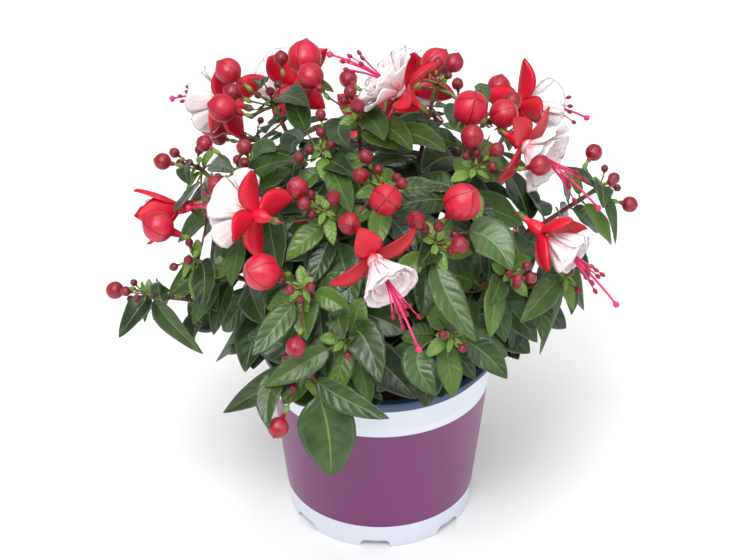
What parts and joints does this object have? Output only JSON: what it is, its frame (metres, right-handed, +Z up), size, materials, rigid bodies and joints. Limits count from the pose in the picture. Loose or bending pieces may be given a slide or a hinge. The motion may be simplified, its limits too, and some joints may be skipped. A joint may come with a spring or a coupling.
{
  "type": "potted fuchsia",
  "caption": "Bushy fuchsia in bloom, with red and white hanging flowers, round buds and folded leaves, in a round tapered nursery pot with a footed base.",
  "frame": {"origin": "middle of the circle that the pot stands on, on the surface it rests on", "axes": "+Z up along the pot's axis, -Y towards the front, +X to the right seen from the front"},
  "size_m": [0.2846, 0.2983, 0.2812],
  "materials": {
    "pot": "glossy white plastic with a plum band, blue-grey inside and on the lip",
    "soil": "dark crumbly potting mix",
    "leafy_stem": "folded green leaves, red-brown stems and dusky red buds",
    "calyx": "bright red sepals and tube",
    "corolla": "white petals with pink veins at the base",
    "stamens": "magenta threads with dark red tips"
  },
  "bodies": {
    "root": {"bloom_back_left_calyx": "calyx", "bloom_back_left_corolla": "corolla", "bloom_back_left_stamens": "stamens", "bloom_back_low_calyx": "calyx", "bloom_back_low_corolla": "corolla", "bloom_back_low_stamens": "stamens", "bloom_back_right_calyx": "calyx", "bloom_back_right_corolla": "corolla", "bloom_back_right_stamens": "stamens", "bloom_back_upper_calyx": "calyx", "bloom_back_upper_corolla": "corolla", "bloom_back_upper_stamens": "stamens", "bloom_centre_calyx": "calyx", "bloom_centre_corolla": "corolla", "bloom_centre_stamens": "stamens", "bloom_crown_calyx": "calyx", "bloom_crown_corolla": "corolla", "bloom_crown_stamens": "stamens", "bloom_half_open_calyx": "calyx", "bloom_left_calyx": "calyx", "bloom_left_corolla": "corolla", "bloom_left_stamens": "stamens", "bloom_right_calyx": "calyx", "bloom_right_corolla": "corolla", "bloom_right_stamens": "stamens", "bloom_right_upper_calyx": "calyx", "bloom_right_upper_corolla": "corolla", "bloom_right_upper_stamens": "stamens", "bloom_top_left_calyx": "calyx", "bloom_top_left_corolla": "corolla", "bloom_top_left_stamens": "stamens", "leafy_stem_back": "leafy_stem", "leafy_stem_back_left": "leafy_stem", "leafy_stem_back_low": "leafy_stem", "leafy_stem_back_right": "leafy_stem", "leafy_stem_centre": "leafy_stem", "leafy_stem_centre_left": "leafy_stem", "leafy_stem_centre_right": "leafy_stem", "leafy_stem_crown": "leafy_stem", "leafy_stem_front_left": "leafy_stem", "leafy_stem_front_low": "leafy_stem", "leafy_stem_front_mid": "leafy_stem", "leafy_stem_front_right": "leafy_stem", "leafy_stem_left_high": "leafy_stem", "leafy_stem_left_low": "leafy_stem", "leafy_stem_left_mid": "leafy_stem", "leafy_stem_left_upper": "leafy_stem", "leafy_stem_right_far": "leafy_stem", "leafy_stem_right_low": "leafy_stem", "leafy_stem_right_mid": "leafy_stem", "leafy_stem_right_top": "leafy_stem", "leafy_stem_right_upper": "leafy_stem", "leafy_stem_top_left": "leafy_stem", "leafy_stem_top_right": "leafy_stem", "leafy_stem_upper_left": "leafy_stem", "pot": "pot", "soil": "soil"}
  },
  "joints": []
}
